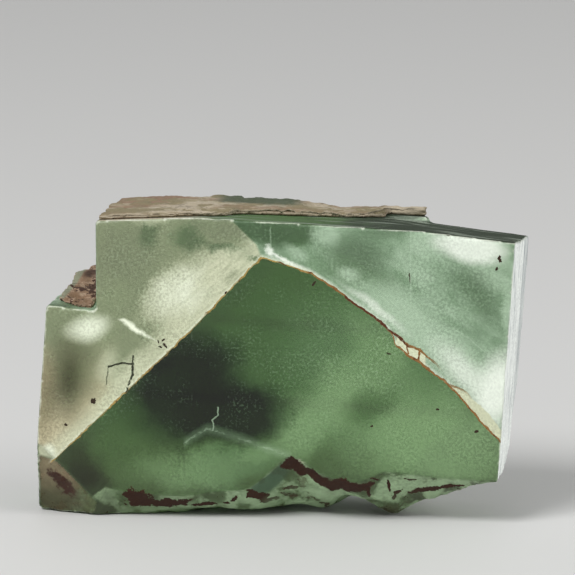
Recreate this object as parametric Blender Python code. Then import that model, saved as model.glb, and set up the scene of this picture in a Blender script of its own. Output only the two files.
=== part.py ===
"""Blocky fluorite crystal with cleavage steps, a broken base and two patches of weathered crust.

Units are metres, +Z is up, +X runs along the crystal and -Y is the broad flat front face.
The crystal rests on the flat middle of its broken underside.
"""

import math

import bmesh
import bpy
from mathutils import Matrix, Vector, noise

MM = 0.001
SEED_OFFSET = Vector((3.7, 8.1, 5.3))

# Driving dimensions of the crystal
FRONT_Y = -13.0 * MM
BACK_Y_LEFT = 13.0 * MM
BACK_Y_RIGHT = 7.0 * MM
LEFT_X_TOP = -35.9 * MM
LEFT_X_BOTTOM = -38.4 * MM
RIGHT_X_TOP = 35.3 * MM
RIGHT_X_BOTTOM = 32.3 * MM
RIGHT_FACE_TURN = math.radians(3.4)
LEFT_FACE_TURN = math.radians(6.0)
UPPER_LEFT_X = -28.3 * MM

# The top: two cleavage planes that meet in a low ridge, and a corner facet at the right end
RIDGE_X = -13.0 * MM
RIDGE_Z = 46.45 * MM
TOP_RISE_LEFT = 0.049
TOP_FALL_RIGHT = 0.043
TOP_FALL_BACK = 0.063
CORNER_FACET = (
    (34.95 * MM, -13.0 * MM, 43.45 * MM),
    (21.1 * MM, -13.0 * MM, 44.98 * MM),
    (35.9 * MM, 7.0 * MM, 41.3 * MM),
)

# The ledge at the left end, one step below the top
LEDGE_X = -28.3 * MM
LEDGE_Z = 31.8 * MM
LEDGE_RISE_LEFT = 0.105
LEDGE_RISE_BACK = 0.06

# The low step of clear fluorite that carries the crust at the back of the top
BACK_STEP_X = (11.6 * MM, 20.3 * MM)
BACK_STEP_Y = 5.5 * MM
BACK_STEP_HEIGHT = 0.25 * MM
BACK_STEP_SET_IN = 0.1 * MM

# The shallow step that parts the right face in two upright strips
STRIP_EDGE_Y = -1.0 * MM
STRIP_DEPTH = 0.35 * MM

# The stained chip that slants off the lower left corner of the front face
CHIP_POINT = (-34.7 * MM, -13.0 * MM, 8.8 * MM)
CHIP_FLOOR = (-0.32, -0.9, -0.32)

# Cleavage steps across the back face: the height of each step's edge and how far it is set in
BACK_LEDGES = ((27.0 * MM, 0.9 * MM), (15.0 * MM, 1.9 * MM))
BACK_LEDGE_SLOPE = (0.03, -0.05, 1.0)

# The broken base, along X: lower edge of the flat front face, underside height, and reach of the undercut
BAND_TOP = (
    (-40.0, 0.6), (-31.0, 0.6), (-28.0, 2.6), (-26.5, 4.3), (-24.0, 3.9), (-15.0, 3.4), (-10.5, 4.2),
    (-5.4, 4.7), (-2.8, 6.6), (1.2, 10.0), (5.4, 7.4), (11.2, 6.1), (15.3, 7.9), (17.7, 7.7),
    (23.3, 7.2), (28.4, 6.9), (33.1, 6.6), (40.0, 6.6),
)
UNDERSIDE = (
    (-40.0, 1.4), (-36.0, 0.4), (-31.5, 0.4), (-27.7, -0.4), (-22.0, -0.4), (-17.6, 0.6), (-10.5, 1.0),
    (-3.8, 0.7), (1.6, 1.2), (5.3, 1.9), (9.8, 3.4), (11.8, 2.7), (14.4, 0.9), (16.8, -0.4),
    (19.0, 1.4), (24.4, 3.7), (30.4, 6.1), (40.0, 6.4),
)
UNDERCUT = (
    (-40.0, 0.8), (-31.0, 0.8), (-27.0, 2.0), (-24.0, 3.0), (-15.0, 2.8), (-10.5, 3.0), (-5.4, 3.8),
    (1.2, 6.4), (5.4, 5.0), (11.2, 3.6), (16.8, 6.4), (23.3, 3.0), (28.4, 1.2), (40.0, 0.9),
)
UNDERCUT_POWER = 1.25
UNDERSIDE_FALL = 0.25
FALL_REACH = 3.6 * MM
LEVEL_X = (5.0 * MM, 20.0 * MM)
END_RISE = 14.0 * MM
END_RISE_POWER = 3.3
END_RISE_X = (8.0 * MM, 34.0 * MM)
BACK_RISE = 3.2 * MM
BACK_RISE_Y = (6.0 * MM, 14.0 * MM)
LEFT_RISE = 4.5 * MM
LEFT_RISE_X = (-24.0 * MM, -38.0 * MM)
LEFT_RISE_Y = (-2.0 * MM, 13.0 * MM)
SCALLOP_HEIGHT = 2.4 * MM
SCALLOP_SUNK = 0.9 * MM
SCALLOP_SIZE = 12.0 * MM
SCALLOP_REACH = 0.8
BASE_CELL = 1.25 * MM
BASE_CROWDING = 1.35
MOST_ACROSS = 1.4
MOST_CLIMB = 1.5
MARGIN = 3.0 * MM

# The crusts
GAP = 0.3 * MM
CRUST_CELL = 1.1 * MM
CRUST_ROUGHNESS = 0.35 * MM
TOP_CRUST_FRONT = (
    (-28.1, -12.4), (-24.0, -12.2), (-19.0, -11.9), (-14.0, -11.6), (-11.1, -10.9), (-9.1, -9.2), (-8.2, -7.2),
    (-7.2, -5.3), (-5.9, -4.7), (-2.9, -3.6), (0.2, -3.1), (3.7, -2.0), (6.4, -1.4), (8.9, -0.3), (11.3, 1.2),
    (13.3, 3.4), (14.6, 5.8), (20.1, 5.9),
)
TOP_CRUST_BACK = ((20.1, 8.1), (-4.0, 10.0), (-24.0, 11.6), (-27.4, 9.6), (-28.2, 2.0))
TOP_CRUST_THICKNESS = (
    (-28.0, 0.75), (-24.0, 0.97), (-17.4, 0.82), (-12.5, 0.62), (-7.7, 0.85), (0.0, 0.92), (4.5, 0.74),
    (9.0, 0.62), (12.0, 0.9), (14.9, 1.44), (20.0, 1.95),
)
TOP_CRUST_FOOT = 0.55
TOP_CRUST_LAYERS = (-9.5 * MM, -3.0 * MM, 3.5 * MM)
LAYER_EDGE = 0.8 * MM
LAYER_WANDER = 4.0
LEDGE_CRUST_OUTLINE = (
    (-34.6, -9.5), (-31.0, -12.0), (-28.7, -11.4), (-28.7, 12.0), (-32.4, 12.2), (-33.4, 6.0),
    (-33.9, 0.5), (-34.4, -3.0),
)
LEDGE_CRUST_HEIGHTS = (
    (-13.0, 0.35), (-3.0, 0.45), (-0.6, 0.6), (0.8, 1.45), (5.0, 1.3), (9.0, 0.7), (13.0, 0.45),
)
FINE_BUMPS = 2.4 * MM
BROAD_BUMPS = 5.0 * MM
TRIM_REACH = 12.0 * MM

BLANK_BOX = (90.0 * MM, 60.0 * MM, 90.0 * MM)
BLANK_CENTRE = (0.0, 0.0, 24.0 * MM)

CRYSTAL_GREEN = (0.30, 0.48, 0.27, 1.0)
CRUST_TAN = (0.33, 0.24, 0.15, 1.0)
CRUST_PINK = (0.30, 0.19, 0.13, 1.0)


def clear_scene():
    for obj in list(bpy.data.objects):
        bpy.data.objects.remove(obj, do_unlink=True)


def new_collection(name, hidden):
    collection = bpy.data.collections.new(name)
    collection.hide_render = hidden
    bpy.context.scene.collection.children.link(collection)
    return collection


def principled(name, colour, roughness, transmission=0.0, ior=1.5):
    material = bpy.data.materials.new(name)
    material.use_nodes = True
    shader = material.node_tree.nodes["Principled BSDF"]
    shader.inputs["Base Color"].default_value = colour
    shader.inputs["Roughness"].default_value = roughness
    shader.inputs["Metallic"].default_value = 0.0
    shader.inputs["Transmission Weight"].default_value = transmission
    shader.inputs["IOR"].default_value = ior
    return material


def add_object(name, bm, collection, material=None, cutter=False):
    bmesh.ops.recalc_face_normals(bm, faces=bm.faces)
    mesh = bpy.data.meshes.new(name)
    bm.to_mesh(mesh)
    bm.free()
    obj = bpy.data.objects.new(name, mesh)
    collection.objects.link(obj)
    if material:
        mesh.materials.append(material)
    if cutter:
        obj.hide_render = True
        obj.display_type = "WIRE"
    return obj


def add_boolean(obj, other, operation):
    modifier = obj.modifiers.new(other.name, "BOOLEAN")
    modifier.operation = operation
    modifier.solver = "EXACT"
    modifier.object = other


def smoothstep(start, end, value):
    t = min(max((value - start) / (end - start), 0.0), 1.0)
    return t * t * (3.0 - 2.0 * t)


def profile(points, x):
    """Smooth curve through (x, value) points in millimetres, read and given in metres."""
    x = x / MM
    last = len(points) - 1
    if x <= points[0][0]:
        return points[0][1] * MM
    if x >= points[last][0]:
        return points[last][1] * MM
    i = max(k for k in range(last) if points[k][0] <= x)
    (x0, v0), (x1, v1) = points[i], points[i + 1]
    before = points[max(i - 1, 0)]
    after = points[min(i + 2, last)]
    width = x1 - x0
    slope0 = (v1 - before[1]) / (x1 - before[0])
    slope1 = (after[1] - v0) / (after[0] - x0)
    t = (x - x0) / width
    value = (
        v0 * (1 + 2 * t) * (1 - t) ** 2
        + v1 * t * t * (3 - 2 * t)
        + width * slope0 * t * (1 - t) ** 2
        + width * slope1 * t * t * (t - 1)
    )
    return value * MM


def plane_normal(a, b, c, outside):
    """Unit normal of the plane through three points, on the side that the fourth point lies."""
    a, b, c, outside = Vector(a), Vector(b), Vector(c), Vector(outside)
    normal = (b - a).cross(c - a).normalized()
    return normal if normal.dot(outside - a) > 0 else -normal


def plane_height(point, normal, x, y):
    """Height at (x, y) of the plane through a point."""
    return point[2] - (normal[0] * (x - point[0]) + normal[1] * (y - point[1])) / normal[2]


TOP_POINT = (RIDGE_X, FRONT_Y, RIDGE_Z)
TOP_LEFT_NORMAL = Vector((-TOP_RISE_LEFT, TOP_FALL_BACK, 1.0)).normalized()
TOP_RIGHT_NORMAL = Vector((TOP_FALL_RIGHT, TOP_FALL_BACK, 1.0)).normalized()
CORNER_NORMAL = plane_normal(*CORNER_FACET, outside=(0.0, 0.0, 1.0))
LEDGE_POINT = (LEDGE_X, FRONT_Y, LEDGE_Z)
LEDGE_NORMAL = Vector((LEDGE_RISE_LEFT, -LEDGE_RISE_BACK, 1.0)).normalized()


def block_top(x, y):
    """Height of the crystal's top, the lowest of its three planes."""
    return min(
        plane_height(TOP_POINT, TOP_LEFT_NORMAL, x, y),
        plane_height(TOP_POINT, TOP_RIGHT_NORMAL, x, y),
        plane_height(CORNER_FACET[0], CORNER_NORMAL, x, y),
    )


def ledge_top(x, y):
    return plane_height(LEDGE_POINT, LEDGE_NORMAL, x, y)


def cleaved(planes):
    """A blank box cut back to each (point, outward normal) plane, like a crystal to its faces."""
    bm = bmesh.new()
    bmesh.ops.create_cube(bm, size=1.0)
    bmesh.ops.scale(bm, vec=BLANK_BOX, verts=bm.verts)
    bmesh.ops.translate(bm, vec=BLANK_CENTRE, verts=bm.verts)
    for point, normal in planes:
        cut = bmesh.ops.bisect_plane(
            bm,
            geom=bm.verts[:] + bm.edges[:] + bm.faces[:],
            plane_co=point,
            plane_no=normal,
            clear_outer=True,
        )
        rim = [part for part in cut["geom_cut"] if isinstance(part, bmesh.types.BMEdge)]
        bmesh.ops.edgeloop_fill(bm, edges=rim)
    return bm


def back_plane():
    left = (LEFT_X_BOTTOM, BACK_Y_LEFT, 0.0)
    right = (RIGHT_X_TOP, BACK_Y_RIGHT, 0.0)
    up = (RIGHT_X_TOP, BACK_Y_RIGHT, RIDGE_Z)
    return left, plane_normal(left, right, up, outside=(0.0, 1.0, 0.0))


def right_plane(inset=0.0):
    top = Vector((RIGHT_X_TOP, FRONT_Y, RIDGE_Z))
    bottom = Vector((RIGHT_X_BOTTOM, FRONT_Y, 0.0))
    back = top + Vector((math.sin(RIGHT_FACE_TURN), math.cos(RIGHT_FACE_TURN), 0.0))
    normal = plane_normal(top, bottom, back, outside=(1.0, 0.0, 0.0))
    return top - normal * inset, normal


def left_plane():
    top = Vector((LEFT_X_TOP, FRONT_Y, ledge_top(LEFT_X_TOP, FRONT_Y)))
    bottom = Vector((LEFT_X_BOTTOM, FRONT_Y, 0.0))
    back = top + Vector((math.sin(LEFT_FACE_TURN), math.cos(LEFT_FACE_TURN), 0.0))
    return top, plane_normal(top, bottom, back, outside=(-1.0, 0.0, 0.0))


def whole_block():
    return cleaved((
        ((0.0, FRONT_Y, 0.0), (0.0, -1.0, 0.0)),
        back_plane(),
        right_plane(),
        left_plane(),
        (TOP_POINT, TOP_LEFT_NORMAL),
        (TOP_POINT, TOP_RIGHT_NORMAL),
        (CORNER_FACET[0], CORNER_NORMAL),
    ))


def ledge_cutter():
    """Everything above the ledge, left of the upright face that ends there."""
    return cleaved((
        ((UPPER_LEFT_X, 0.0, 0.0), (1.0, 0.0, 0.0)),
        (LEDGE_POINT, -LEDGE_NORMAL),
    ))


def floor_cutter():
    return cleaved((((0.0, 0.0, 0.0), (0.0, 0.0, 1.0)),))


def chip_cutter():
    """Everything outside the chip's slanting floor."""
    return cleaved(((CHIP_POINT, -Vector(CHIP_FLOOR)),))


def back_step(grow=0.0):
    """The low step on the top; grown a little it is the room that the crust leaves for it."""
    lift = Vector((0.0, 0.0, BACK_STEP_HEIGHT + grow))
    back_point, back_normal = back_plane()
    return cleaved((
        ((BACK_STEP_X[0] - grow, 0.0, 0.0), (-1.0, 0.0, 0.0)),
        ((BACK_STEP_X[1] + grow, 0.0, 0.0), (1.0, 0.0, 0.0)),
        ((0.0, BACK_STEP_Y - grow, 0.0), (0.0, -1.0, 0.0)),
        (Vector(back_point) + back_normal * (grow - BACK_STEP_SET_IN), back_normal),
        (Vector(TOP_POINT) + lift, TOP_RIGHT_NORMAL),
        ((0.0, 0.0, RIDGE_Z - 2 * TRIM_REACH), (0.0, 0.0, -1.0)),
    ))


def strip_cutter():
    """Everything outside the right face's rear strip, which is set in by the strip's depth."""
    inner, normal = right_plane(STRIP_DEPTH)
    return cleaved((
        (inner, -normal),
        ((0.0, STRIP_EDGE_Y, 0.0), (0.0, -1.0, 0.0)),
    ))


def back_ledge_cutter(height, depth):
    """Everything behind the back face's plane set in by depth, below a height."""
    point, normal = back_plane()
    point = Vector(point) - normal * depth
    return cleaved((
        (point, -normal),
        ((0.0, 0.0, height), BACK_LEDGE_SLOPE),
    ))


def scallops(x, y):
    """Shallow bowls with sharp ridges between them, as glassy stone breaks."""
    spot = Vector((x, y, 0.0)) / SCALLOP_SIZE + SEED_OFFSET
    distances, _ = noise.voronoi(spot)
    bowl = 1.0 - min(distances[0] / SCALLOP_REACH, 1.0) ** 2
    return bowl * SCALLOP_HEIGHT - SCALLOP_SUNK


def base_height(x, y):
    """Height of the broken underside, undercut behind the front face and rising at the ends and back."""
    low = profile(UNDERSIDE, x)
    reach = profile(UNDERCUT, x)
    depth = y - (FRONT_Y + reach)
    fall = UNDERSIDE_FALL * (1.0 - smoothstep(LEVEL_X[0], LEVEL_X[1], x))
    end = smoothstep(*END_RISE_X, x)
    across = max(y - FRONT_Y, 0.0) / (BACK_Y_RIGHT - FRONT_Y)
    height = low + END_RISE * end * min(across, MOST_ACROSS) ** END_RISE_POWER
    height += BACK_RISE * smoothstep(*BACK_RISE_Y, y)
    height += LEFT_RISE * smoothstep(*LEFT_RISE_X, x) * smoothstep(*LEFT_RISE_Y, y)
    if depth < 0:
        rise = profile(BAND_TOP, x) - low
        return height + rise * min(-depth / reach, MOST_CLIMB) ** UNDERCUT_POWER
    return height - fall * min(depth, FALL_REACH) + scallops(x, y) * smoothstep(0.0, MARGIN, depth)


def sheet(x_range, y_range, cell, crowding=1.0):
    """Flat grid over a rectangle; a crowding over 1 sets the rows closer together at the front."""
    bm = bmesh.new()
    columns = round((x_range[1] - x_range[0]) / cell)
    rows = round((y_range[1] - y_range[0]) / cell)
    bmesh.ops.create_grid(bm, x_segments=columns, y_segments=rows, size=0.5)
    for vert in bm.verts:
        u = vert.co.x + 0.5
        v = (vert.co.y + 0.5) ** crowding
        vert.co.x = x_range[0] + u * (x_range[1] - x_range[0])
        vert.co.y = y_range[0] + v * (y_range[1] - y_range[0])
    return bm


def thicken(bm, lower, upper):
    """Turns a sheet into a solid between two height functions."""
    made = bmesh.ops.extrude_face_region(bm, geom=bm.faces[:], use_keep_orig=True)
    raised = {part for part in made["geom"] if isinstance(part, bmesh.types.BMVert)}
    for vert in bm.verts:
        height = upper if vert in raised else lower
        vert.co.z = height(vert.co.x, vert.co.y)
    return bm


def base_cutter():
    x_range = (LEFT_X_BOTTOM - MARGIN, RIGHT_X_TOP + MARGIN)
    y_range = (FRONT_Y - MARGIN, BACK_Y_LEFT + MARGIN)
    bm = sheet(x_range, y_range, BASE_CELL, BASE_CROWDING)
    return thicken(bm, lambda x, y: BLANK_CENTRE[2] - BLANK_BOX[2], base_height)


def prism(points, low, high):
    """Upright solid on an outline given in millimetres."""
    bm = bmesh.new()
    verts = [bm.verts.new((x * MM, y * MM, low)) for x, y in points]
    face = bm.faces.new(verts)
    made = bmesh.ops.extrude_face_region(bm, geom=[face], use_keep_orig=True)
    top = [part for part in made["geom"] if isinstance(part, bmesh.types.BMVert)]
    bmesh.ops.translate(bm, vec=(0.0, 0.0, high - low), verts=top)
    return bm


def roughness(x, y, size):
    return noise.noise(Vector((x, y, 0.0)) / size + SEED_OFFSET) * CRUST_ROUGHNESS


def top_crust_height(x, y):
    """Top of the crust: thin at its front foot, stepping up in layers to its full thickness at the back."""
    full = profile(TOP_CRUST_THICKNESS, x)
    wandering = y + roughness(x, y, BROAD_BUMPS) * LAYER_WANDER
    layers = sum(smoothstep(edge, edge + LAYER_EDGE, wandering) for edge in TOP_CRUST_LAYERS)
    share = TOP_CRUST_FOOT + (1.0 - TOP_CRUST_FOOT) * layers / len(TOP_CRUST_LAYERS)
    return block_top(x, y) + GAP + full * share + roughness(x, y, FINE_BUMPS)


def ledge_crust_height(x, y):
    """Low in front, with a lump in the middle of the ledge."""
    return ledge_top(x, y) + GAP + profile(LEDGE_CRUST_HEIGHTS, y) + roughness(x, y, FINE_BUMPS)


def outline_box(points):
    """X range and Y range of an outline given in millimetres, with a margin, in metres."""
    return [
        (min(p[axis] for p in points) * MM - MARGIN, max(p[axis] for p in points) * MM + MARGIN)
        for axis in (0, 1)
    ]


def crust(outline, under, over):
    """Sheet of crust over an outline's box, its underside a gap above the crystal; the outline trims it."""
    x_range, y_range = outline_box(outline)
    return thicken(sheet(x_range, y_range, CRUST_CELL), lambda x, y: under(x, y) + GAP, over)


def rest_on_centre(objects):
    """Moves everything so that the whole box stands on the origin, centred in X and Y."""
    bpy.context.view_layer.update()
    graph = bpy.context.evaluated_depsgraph_get()
    corners = []
    for obj in objects:
        evaluated = obj.evaluated_get(graph)
        mesh = evaluated.to_mesh()
        corners += [evaluated.matrix_world @ vert.co for vert in mesh.vertices]
        evaluated.to_mesh_clear()
    low = Vector(min(corner[axis] for corner in corners) for axis in range(3))
    high = Vector(max(corner[axis] for corner in corners) for axis in range(3))
    shift = Vector((-(low.x + high.x) / 2, -(low.y + high.y) / 2, -low.z))
    for obj in bpy.data.objects:
        obj.data.transform(Matrix.Translation(shift))


def build():
    clear_scene()
    parts = new_collection("fluorite_crystal", hidden=False)
    tools = new_collection("cutters", hidden=True)

    fluorite = principled("fluorite", CRYSTAL_GREEN, 0.12, transmission=1.0, ior=1.434)
    crystal = add_object("fluorite_block", whole_block(), parts, fluorite)
    add_boolean(crystal, add_object("back_step", back_step(), tools, cutter=True), "UNION")
    cuts = [("above_ledge", ledge_cutter()), ("rear_strip", strip_cutter()), ("base_break", base_cutter())]
    cuts += [(f"back_ledge_{i}", back_ledge_cutter(*ledge)) for i, ledge in enumerate(BACK_LEDGES)]
    cuts += [("corner_chip", chip_cutter()), ("floor", floor_cutter())]
    for name, bm in cuts:
        add_boolean(crystal, add_object(name, bm, tools, cutter=True), "DIFFERENCE")

    outline = TOP_CRUST_FRONT + TOP_CRUST_BACK
    layers = crust(outline, block_top, top_crust_height)
    top = add_object("top_crust", layers, parts, principled("tan crust", CRUST_TAN, 0.9))
    trim = prism(outline, RIDGE_Z - TRIM_REACH, RIDGE_Z + TRIM_REACH)
    add_boolean(top, add_object("top_crust_outline", trim, tools, cutter=True), "INTERSECT")
    add_boolean(top, add_object("back_step_room", back_step(GAP), tools, cutter=True), "DIFFERENCE")

    outline = LEDGE_CRUST_OUTLINE
    lump = crust(outline, ledge_top, ledge_crust_height)
    ledge = add_object("ledge_crust", lump, parts, principled("brown crust", CRUST_PINK, 0.9))
    trim = prism(outline, LEDGE_Z - TRIM_REACH, LEDGE_Z + TRIM_REACH)
    add_boolean(ledge, add_object("ledge_crust_outline", trim, tools, cutter=True), "INTERSECT")
    rest_on_centre((crystal, top, ledge))


build()
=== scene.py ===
import math

import bmesh
import bpy
from bpy.props import FloatProperty, FloatVectorProperty, PointerProperty
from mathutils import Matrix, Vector, noise
from mathutils.bvhtree import BVHTree


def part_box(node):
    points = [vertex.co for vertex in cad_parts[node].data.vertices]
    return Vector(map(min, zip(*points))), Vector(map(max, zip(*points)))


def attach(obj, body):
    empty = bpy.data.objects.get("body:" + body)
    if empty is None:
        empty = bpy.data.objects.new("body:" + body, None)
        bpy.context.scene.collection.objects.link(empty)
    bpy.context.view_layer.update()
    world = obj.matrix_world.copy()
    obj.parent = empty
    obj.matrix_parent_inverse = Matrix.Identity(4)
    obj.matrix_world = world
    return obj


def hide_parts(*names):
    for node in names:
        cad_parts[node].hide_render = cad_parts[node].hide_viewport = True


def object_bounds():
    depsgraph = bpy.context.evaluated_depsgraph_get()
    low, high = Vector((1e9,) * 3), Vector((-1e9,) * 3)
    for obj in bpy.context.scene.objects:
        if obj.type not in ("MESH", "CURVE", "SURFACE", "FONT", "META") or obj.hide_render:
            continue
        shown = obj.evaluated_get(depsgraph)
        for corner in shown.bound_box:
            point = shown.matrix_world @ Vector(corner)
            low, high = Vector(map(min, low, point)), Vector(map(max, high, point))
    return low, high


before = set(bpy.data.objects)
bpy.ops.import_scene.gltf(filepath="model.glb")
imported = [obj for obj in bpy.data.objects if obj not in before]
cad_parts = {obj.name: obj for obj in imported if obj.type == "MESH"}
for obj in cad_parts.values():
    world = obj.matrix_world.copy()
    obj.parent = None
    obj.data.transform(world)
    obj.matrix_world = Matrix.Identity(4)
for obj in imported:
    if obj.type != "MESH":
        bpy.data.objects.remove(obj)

bl_info = {
    "name": "Fluorite crystal block",
    "version": (1, 0, 0),
    "blender": (4, 5, 0),
    "location": "View3D > Sidebar > Crystal",
    "description": "Makes the looks of a blocky fluorite crystal with weathered crusts round its solids",
    "category": "Object",
}

MM = 0.001
CAD_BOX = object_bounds()
BODY = "root"
SEED_OFFSET = Vector((4.1, 9.7, 2.3))

# Plane of the crystal's front face that its finishes follow, from its solid
FRONT_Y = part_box("fluorite_block")[0].y

# Lines on the front face as (x, height) in millimetres: the two cleavage cracks that meet in an apex
LEFT_CRACK = ((-37.0, 5.5), (-33.8, 8.7), (-22.6, 19.6), (-13.0, 28.9), (-2.1, 40.5))
RIGHT_CRACK = (
    (1.2, 39.6), (5.3, 38.3), (8.8, 36.1), (11.8, 33.9), (15.5, 31.4), (17.4, 29.6), (18.3, 27.6),
    (19.8, 26.2), (21.7, 25.1), (26.6, 21.4), (28.4, 19.4), (30.8, 16.4), (33.1, 14.1), (37.0, 10.2),
)
HEAVY_CRACK = ((10.6, 34.7), (11.8, 33.9), (15.5, 31.4), (17.4, 29.7), (19.6, 27.9))
UPPER_BRANCH = ((17.4, 29.7), (19.6, 27.9), (22.1, 26.7), (24.0, 25.1), (25.6, 23.6))
FLAKES_X = (18.4, 22.6)
TAIL_TOP = ((26.2, 21.8), (28.5, 20.9), (32.3, 17.3), (34.6, 14.4))
APEX = (-2.1, 40.5)
APEX_EDGE = ((36.0, -2.1), (40.5, -2.1), (42.4, -2.8), (46.5, -7.0), (47.5, -8.0))
BACK_CRACK_SHIFT = 4.0
STEP_CRACK = ((-27.1, 31.8), (-25.5, 31.3), (-23.0, 30.4), (-20.6, 28.8), (-16.8, 26.9))
STEP_CRACK_WIDTH = ((-27.1, -0.3), (-24.0, 0.0), (-22.8, 0.6), (-21.4, 0.7), (-19.4, 0.4), (-16.8, 0.0))
BAND_TOP = (
    (-40.0, 0.5), (-29.8, 0.8), (-27.5, 3.6), (-25.9, 4.7), (-23.0, 3.9), (-13.9, 3.4), (-9.4, 4.3),
    (-4.3, 4.7), (-1.7, 6.6), (0.9, 8.9), (2.3, 10.1), (6.5, 7.4), (12.3, 6.1), (16.4, 7.9), (18.8, 7.7),
    (24.4, 7.2), (29.5, 6.9), (34.2, 6.6), (40.0, 6.4),
)
SCRATCH = ((27.0, 30.2), (29.0, 29.0), (31.9, 26.6))
INNER_VEIL = ((-13.8, 11.8), (-12.2, 13.0), (-10.3, 14.1), (-6.8, 13.2), (-1.1, 11.3), (2.4, 10.1))
SMALL_DOTS = (
    ((-27.7, 18.0), (0.62, 0.8), 0.0), ((-31.9, 14.3), (0.42, 0.36), 0.0), ((24.6, 17.8), (0.36, 0.36), 0.0),
    ((30.5, 14.6), (0.55, 0.42), 0.0), ((33.8, 41.0), (0.34, 0.8), 0.0), ((33.3, 39.4), (0.32, 0.5), 0.0),
    ((5.9, 36.6), (0.3, 0.7), -40.0), ((20.4, 37.8), (0.22, 1.3), 0.0), ((-16.6, 26.7), (0.3, 0.7), 30.0),
    ((-17.6, 27.4), (0.2, 0.6), 20.0), ((-16.9, 27.6), (0.2, 0.5), -30.0), ((-17.3, 26.5), (0.5, 0.2), 0.0),
    ((17.2, 26.2), (0.5, 0.26), 0.0), ((-7.4, 35.0), (0.4, 0.26), 40.0),
    ((23.4, 45.0), (1.0, 0.25), 0.0), ((26.2, 44.5), (0.7, 0.22), 0.0), ((14.6, 15.0), (0.3, 0.3), 0.0),
)
BROWN_PATCHES = (
    ((-20.8, 2.9), (3.4, 2.1), -12.0), ((-16.4, 2.3), (4.6, 1.2), 4.0), ((-11.0, 2.0), (2.6, 0.5), 5.0),
    ((-2.7, 3.6), (2.7, 1.1), -20.0), ((-1.0, 2.7), (2.4, 0.6), 8.0), ((2.1, 4.6), (1.5, 0.5), 5.0),
    ((1.7, 3.3), (1.6, 0.5), -20.0), ((14.0, 4.6), (0.4, 1.3), 8.0), ((17.2, 5.5), (0.4, 1.7), 6.0),
    ((18.4, 4.6), (1.1, 0.5), 30.0), ((17.8, 3.6), (0.4, 0.9), -20.0), ((23.6, 5.3), (5.6, 0.6), 13.0),
    ((-6.4, 3.2), (1.0, 0.5), 40.0),
    ((-7.6, 2.4), (0.7, 0.3), 0.0), ((20.6, 6.9), (1.4, 0.25), 0.0), ((27.6, 6.1), (1.8, 0.3), 4.0),
    ((15.0, 6.9), (0.8, 0.3), -20.0),
)
BROWN_SEAM = (
    (0.6, 8.3), (1.6, 8.9), (2.6, 9.0), (3.8, 7.9), (5.6, 7.5), (6.8, 6.1), (8.4, 5.6), (10.0, 6.0),
    (12.2, 5.1), (13.6, 5.4), (15.2, 6.3),
)
BROWN_SEAM_WIDTH = (
    (0.6, 0.2), (2.0, 1.2), (3.4, 1.3), (4.6, 1.0), (6.0, 1.2), (7.4, 0.9), (9.0, 1.2), (11.0, 1.3),
    (12.4, 0.9), (13.8, 0.8), (15.2, 0.1),
)


def srgb(red, green, blue):
    """Linear colour of a display colour given from 0 to 255."""
    shares = [value / 255.0 for value in (red, green, blue)]
    return tuple(s / 12.92 if s <= 0.04045 else ((s + 0.055) / 1.055) ** 2.4 for s in shares)


# Finishes
CREAM = srgb(212, 216, 184)
BRIGHT_CREAM = srgb(240, 247, 222)
PALE_OLIVE = srgb(144, 154, 120)
OLIVE_SHADE = srgb(90, 88, 56)
LEDGE_TAN = srgb(160, 150, 118)
GREY_OLIVE = srgb(136, 145, 114)
WARM_CREAM = srgb(194, 186, 152)
DEEP_GREEN = srgb(80, 110, 70)
MINT = srgb(130, 158, 126)
PALE_MINT = srgb(172, 196, 168)
PAINTED_HIGHLIGHT_MINT = srgb(244, 252, 238)
GREY_GREEN = srgb(106, 130, 100)
SHADED_GREEN = srgb(76, 104, 60)
PAINTED_DEPTH_SHADE = srgb(6, 9, 1)
MID_GREEN = srgb(100, 130, 88)
LIME = srgb(128, 160, 112)
LOW_GREEN = srgb(88, 108, 68)
PAINTED_CORNER_SHADE = srgb(56, 58, 36)
BAND_GREEN = srgb(158, 184, 144)
BAND_SHADE = srgb(98, 114, 78)
BLUE_GREEN = srgb(84, 106, 88)
FIBRE_WHITE = srgb(240, 245, 240)
FIBRE_GREY = srgb(150, 158, 160)
RIM_WHITE = srgb(236, 240, 224)
OCHRE = srgb(166, 138, 74)
RUST = srgb(134, 94, 46)
RED_BROWN = srgb(82, 38, 4)
DOT_BROWN = srgb(44, 28, 8)
BROWN_PATCH = srgb(50, 21, 0)
CHIP_TAN = srgb(136, 120, 94)
CHIP_RED = srgb(62, 34, 20)
CHIP_LOW = srgb(76, 72, 46)
PAINTED_DARK_TOP = srgb(38, 50, 33)
TOP_PALE = srgb(132, 142, 128)
CRUST_TAN = srgb(126, 116, 88)
CRUST_PALE = srgb(172, 161, 140)
CRUST_PINK = srgb(128, 104, 84)
CRUST_DARK = srgb(52, 42, 32)
LUMP_PINK = srgb(134, 106, 82)
LUMP_PALE = srgb(176, 150, 128)
LUMP_GREY = srgb(136, 140, 118)
LUMP_DARK = srgb(66, 42, 30)
MOSS_GREEN = srgb(62, 76, 56)
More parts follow.
